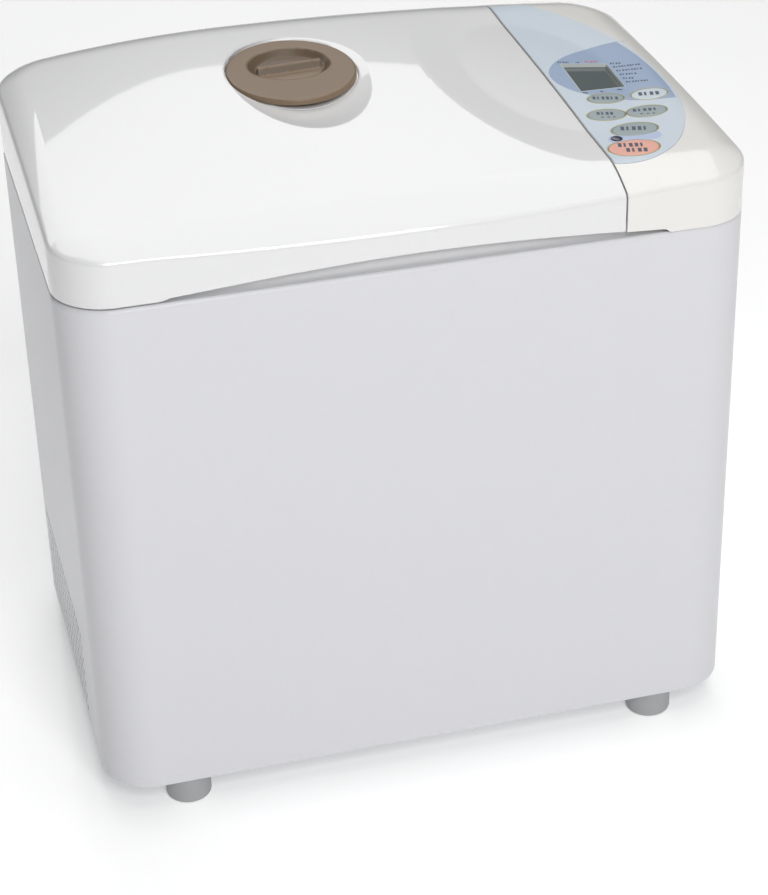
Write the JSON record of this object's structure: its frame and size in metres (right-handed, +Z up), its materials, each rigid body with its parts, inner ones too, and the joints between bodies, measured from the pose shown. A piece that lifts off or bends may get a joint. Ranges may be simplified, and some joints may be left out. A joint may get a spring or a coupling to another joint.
{
  "type": "bread machine",
  "caption": "White countertop bread machine: hinged lid with an ingredient dispenser, control panel beside it, oven with a lift-out pan, kneading blade and belt drive.",
  "frame": {"origin": "centre of the machine's outline on the surface it stands on", "axes": "+X to the machine's right as its user faces it, where the controls are; +Y to the rear; +Z up"},
  "size_m": [0.36, 0.243, 0.3554],
  "materials": {
    "case": "gloss white enamel with a slight lavender cast",
    "base_plate": "zinc plated sheet",
    "foot": "mid grey, satin",
    "frame": "light grey, satin",
    "housing": "warm white, gloss",
    "label": "pale blue printed film",
    "lcd_window": "grey-green display window",
    "lcd_module": "black",
    "lamp": "dark lens",
    "key": "grey-green",
    "start_key": "salmon pink",
    "circuit_board": "green board",
    "lid": "white, high gloss",
    "lid_plate": "satin",
    "gasket": "grey silicone",
    "cup": "satin",
    "hinge": "zinc plated",
    "pin": "drawn steel",
    "dispenser_cover": "smoky brown translucent plastic",
    "flap": "satin",
    "coil": "copper winding under varnish",
    "plunger": "ground steel",
    "oven": "bright drawn sheet",
    "heater": "dull nickel sheath",
    "sensor": "satin",
    "pan": "dark non-stick coating",
    "pan_base": "cast, satin",
    "seal": "black",
    "handle": "bright wire",
    "spindle": "ground steel",
    "coupling": "die cast",
    "blade": "dark non-stick coating",
    "chassis": "zinc plated",
    "bushing": "sintered bronze",
    "pulley": "black moulding",
    "motor": "laminated steel",
    "capacitor": "drawn can",
    "belt": "black",
    "transformer": "laminated steel",
    "inlet": "black"
  },
  "bodies": {
    "machine": {"base_plate": "base_plate", "bearing_housing": "coupling", "bushing_lower": "bushing", "bushing_upper": "bushing", "control_board": "circuit_board", "control_housing": "housing", "cord_gland": "inlet", "drive_belt": "belt", "drive_chassis": "chassis", "foot_front_left": "foot", "foot_front_right": "foot", "foot_rear_left": "foot", "foot_rear_right": "foot", "heater_element": "heater", "hinge_bracket_left": "hinge", "hinge_bracket_right": "hinge", "hinge_pin_left": "pin", "hinge_pin_right": "pin", "lcd_module": "lcd_module", "lcd_window": "lcd_window", "motor_capacitor": "capacitor", "motor_stator": "motor", "outer_case": "case", "oven_chamber": "oven", "panel_label": "label", "power_board": "circuit_board", "temperature_sensor": "sensor", "timer_lamp": "lamp", "top_frame": "frame", "transformer": "transformer"},
    "lid": {"lid_cover": "lid", "lid_inner_plate": "lid_plate", "lid_gasket": "gasket", "dispenser_cup": "cup", "hinge_arm_left": "hinge", "hinge_arm_right": "hinge", "cover_hinge_pin": "pin", "flap_pin": "pin", "solenoid_coil": "coil"},
    "dispenser_cover": {"dispenser_cover": "dispenser_cover"},
    "dispenser_flap": {"dispenser_flap": "flap"},
    "solenoid_plunger": {"solenoid_plunger": "plunger"},
    "pan": {"bread_pan": "pan", "pan_base": "pan_base", "pan_seal": "seal"},
    "pan_handle": {"pan_handle": "handle"},
    "pan_spindle": {"pan_shaft": "spindle", "pan_coupling": "coupling", "kneading_blade": "blade"},
    "drive": {"drive_shaft": "spindle", "drive_pulley": "pulley", "drive_coupling": "coupling"},
    "rotor": {"motor_shaft": "spindle", "motor_pulley": "pulley"},
    "select_button": {"select_button": "key"},
    "menu_button": {"menu_button": "key"},
    "size_button": {"size_button": "key"},
    "crust_button": {"crust_button": "key"},
    "timer_button": {"timer_button": "key"},
    "start_stop_button": {"start_stop_button": "start_key"}
  },
  "joints": [
    {"name": "lid_hinge", "type": "hinge", "parent": "machine", "child": "lid", "pos_m": [0, 0.112, 0.3179], "axis": [-1, 0, 0], "range_deg": [0, 80]},
    {"name": "dispenser_cover_hinge", "type": "hinge", "parent": "lid", "child": "dispenser_cover", "pos_m": [-0.0246, 0.0806, 0.35274], "axis": [-1, 0, 0], "range_deg": [0, 90]},
    {"name": "dispenser_flap_hinge", "type": "hinge", "parent": "lid", "child": "dispenser_flap", "pos_m": [-0.0246, 0.083, 0.3071], "axis": [1, 0, 0], "range_deg": [0, 70], "stiffness_Nm_per_rad": 0.02, "springref_deg": -40.11},
    {"name": "solenoid_stroke", "type": "slide", "parent": "lid", "child": "solenoid_plunger", "axis": [1, 0, 0], "range_m": [0, 0.005], "stiffness_N_per_m": 100, "springref_m": -0.003},
    {"name": "pan_lift", "type": "slide", "parent": "machine", "child": "pan", "axis": [0, 0, 1], "range_m": [0, 0.035]},
    {"name": "pan_handle_hinge", "type": "hinge", "parent": "pan", "child": "pan_handle", "pos_m": [-0.036, 0, 0.2549], "axis": [-1, 0, 0], "range_deg": [0, 30]},
    {"name": "pan_spindle_turn", "type": "hinge", "parent": "pan", "child": "pan_spindle", "pos_m": [-0.036, 0, 0.1029], "axis": [0, 0, 1], "continuous": true},
    {"name": "drive_turn", "type": "hinge", "parent": "machine", "child": "drive", "pos_m": [-0.036, 0, 0.0529], "axis": [0, 0, 1], "continuous": true},
    {"name": "rotor_turn", "type": "hinge", "parent": "machine", "child": "rotor", "pos_m": [0.131, 0, 0.0529], "axis": [0, 0, 1], "continuous": true},
    {"name": "select_button_press", "type": "slide", "parent": "machine", "child": "select_button", "axis": [0, 0, -1], "range_m": [0, 0.0008], "stiffness_N_per_m": 500, "springref_m": -0.001},
    {"name": "menu_button_press", "type": "slide", "parent": "machine", "child": "menu_button", "axis": [0, 0, -1], "range_m": [0, 0.0008], "stiffness_N_per_m": 500, "springref_m": -0.001},
    {"name": "size_button_press", "type": "slide", "parent": "machine", "child": "size_button", "axis": [0, 0, -1], "range_m": [0, 0.0008], "stiffness_N_per_m": 500, "springref_m": -0.001},
    {"name": "crust_button_press", "type": "slide", "parent": "machine", "child": "crust_button", "axis": [0, 0, -1], "range_m": [0, 0.0008], "stiffness_N_per_m": 500, "springref_m": -0.001},
    {"name": "timer_button_press", "type": "slide", "parent": "machine", "child": "timer_button", "axis": [0, 0, -1], "range_m": [0, 0.0008], "stiffness_N_per_m": 500, "springref_m": -0.001},
    {"name": "start_stop_button_press", "type": "slide", "parent": "machine", "child": "start_stop_button", "axis": [0, 0, -1], "range_m": [0, 0.0008], "stiffness_N_per_m": 500, "springref_m": -0.001}
  ],
  "couplings": [
    {"joint": "pan_spindle_turn", "follows": "drive_turn", "ratio": 1},
    {"joint": "rotor_turn", "follows": "drive_turn", "ratio": 5.819}
  ]
}
